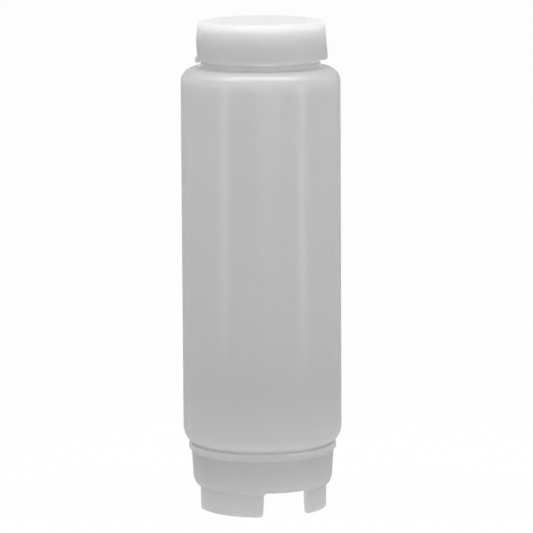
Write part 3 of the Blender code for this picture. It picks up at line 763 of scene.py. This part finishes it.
shape = bent_bar(
    [(LIP_ROOT, LIP_HIGH, 0), (LIP_ROOT, LIP_LOW, 0.4), (LIP_TIP, LIP_LOW, 0.6), (LIP_TIP, LIP_HIGH, 0.4)],
    math.pi, LIP_ANGLE,
)
for vert in shape.verts:
    radius = math.hypot(vert.co.x, vert.co.y) / MM
    from_end = LIP_ANGLE / 2 - abs(math.atan2(vert.co.y, -vert.co.x))
    share = ease(min(from_end / LIP_RUN_OUT, 1))
    drawn_in = min(radius, LIP_END_REACH + (radius - LIP_END_REACH) * share) / radius
    vert.co.x *= drawn_in
    vert.co.y *= drawn_in
    vert.co.z = max(vert.co.z, (LIP_END_HEIGHT + (vert.co.z / MM - LIP_END_HEIGHT) * share) * MM)
set_on_lid_axis(shape)
combine(lid, make_piece("lip", shape, lid_plastic), "UNION")
combine(lid, block("relief", *EAR_ROOM, lid_plastic), "DIFFERENCE")
dress(lid, lid_plastic, CREASE)
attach(lid, "lid")
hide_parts("refill_lid")

# Hinge web: the lid's hinge, a thin strip of the lid's plastic that is moulded in one with the lid and
# the collar's ear. On the real bottle it bends as the lid opens; here it is built as it stands with the
# lid shut.
WEB_ANGLE = math.radians(20)
WEB_BACK = 28.4
WEB_LOW = 199.25
WEB_HIGH = 200.3

shape = bent_bar(
    [
        (WEB_BACK, WEB_LOW, 0), (HINGE_RADIUS, WEB_LOW, 0.08), (HINGE_RADIUS, WEB_HIGH, 0),
        (WEB_BACK, WEB_HIGH, 0),
    ],
    0, WEB_ANGLE,
)
set_on_lid_axis(shape)
web = make_piece("hinge_web", shape, lid_plastic, CREASE)
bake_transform(web)

# Studio: a pale floor that is clear from below, a soft light overhead, a wide panel in front, two
# upright strip lights beside it, and white all round for what the plastic mirrors or lets through.
FLOOR_REACH = 4
FLOOR_SEEN = 0.98
FLOOR_GLOW = 0.66
FLOOR_GREY = (0.80, 0.80, 0.80, 1)
SURROUND_GLOW = 0.05
WHITE = (1, 1, 1, 1)
CAMERA_PLACE = (0, -1.82, 0.3835)
CAMERA_TURN = math.radians(-0.0676)
CAMERA_TILT = math.radians(90 - 8.637)
CAMERA_ROLL = math.radians(-0.32)
CAMERA_SENSOR = 36
CAMERA_LENS = 282.1

studio = bpy.data.materials.new("studio_white")
studio.use_nodes = True
tree = studio.node_tree
tree.nodes.clear()


def seen_directly(tree):
    """1 for rays from the camera, from a reflection or from behind a clear wall, else 0."""
    rays = tree.nodes.new("ShaderNodeLightPath")
    names = ("Is Camera Ray", "Is Glossy Ray", "Is Transmission Ray")
    camera, gloss, through = [Shade(tree, rays.outputs[name]) for name in names]
    return camera.maths("MAXIMUM", camera.maths("MAXIMUM", camera, gloss), through)


direct = seen_directly(tree)
matt = direct.node("ShaderNodeBsdfDiffuse", {}, {"Color": FLOOR_GREY})
bright = direct.node("ShaderNodeEmission", {}, {"Color": WHITE, "Strength": 1.0})
glow = direct * (FLOOR_SEEN - FLOOR_GLOW) + FLOOR_GLOW
mixed = direct.node("ShaderNodeMixShader", {}, {0: glow, 1: matt, 2: bright})
below = direct.node("ShaderNodeNewGeometry", {}, {}, "Backfacing")
gone = direct.node("ShaderNodeBsdfTransparent", {}, {})
mixed = direct.node("ShaderNodeMixShader", {}, {0: below, 1: mixed, 2: gone})
tree.links.new(mixed.socket, tree.nodes.new("ShaderNodeOutputMaterial").inputs["Surface"])
shape = bmesh.new()
bmesh.ops.create_grid(shape, x_segments=1, y_segments=1, size=FLOOR_REACH)
floor = make_piece("studio_floor", shape, studio)

world = bpy.data.worlds.new("studio_surround")
bpy.context.scene.world = world
world.use_nodes = True
tree = world.node_tree
tree.nodes.clear()
direct = seen_directly(tree)
surround = direct.node("ShaderNodeBackground", {}, {"Color": WHITE, "Strength": SURROUND_GLOW})
white = direct.node("ShaderNodeBackground", {}, {"Color": WHITE, "Strength": 1.0})
mixed = direct.node("ShaderNodeMixShader", {}, {0: direct, 1: surround, 2: white})
tree.links.new(mixed.socket, tree.nodes.new("ShaderNodeOutputWorld").inputs["Surface"])


def soft_light(name, shape, size, place, aim, power, lights_matt=True):
    """An area light that looks from its place to its aim, and lights matt surfaces or only gloss."""
    data = bpy.data.lights.new(name, "AREA")
    data.shape = shape
    data.size, data.size_y = size
    data.energy = power
    light = bpy.data.objects.new(name, data)
    light.visible_camera = False
    light.visible_diffuse = light.visible_transmission = lights_matt
    light.location = place
    light.rotation_euler = (Vector(aim) - Vector(place)).to_track_quat("-Z", "Y").to_euler()
    bpy.context.scene.collection.objects.link(light)


soft_light(
    "overhead_softbox", "ELLIPSE", size=(1.1, 0.4), place=(0, -0.05, 0.8), aim=(0, 0, 0), power=7.5
)
soft_light(
    "front_panel", "RECTANGLE", size=(1.2, 0.6), place=(0.45, -2.1, 0.22), aim=(0, 0, 0.1), power=8.7
)
for name, place, power in (
    ("left_strip", (-0.444, -0.324, 0.25), 0.4),
    ("right_strip", (0.470, -0.285, 0.25), 0.5),
):
    soft_light(
        name, "RECTANGLE", size=(0.08, 0.5), place=place, aim=(0, 0, 0.25), power=power, lights_matt=False
    )

camera = bpy.data.objects.new("camera", bpy.data.cameras.new("camera"))
camera.data.sensor_width = CAMERA_SENSOR
camera.data.lens = CAMERA_LENS
camera.matrix_world = (
    Matrix.Translation(CAMERA_PLACE)
    @ Matrix.Rotation(CAMERA_TURN, 4, "Z")
    @ Matrix.Rotation(CAMERA_TILT, 4, "X")
    @ Matrix.Rotation(CAMERA_ROLL, 4, "Z")
)
bpy.context.scene.collection.objects.link(camera)
bpy.context.scene.camera = camera
bpy.context.scene.view_settings.view_transform = "Standard"
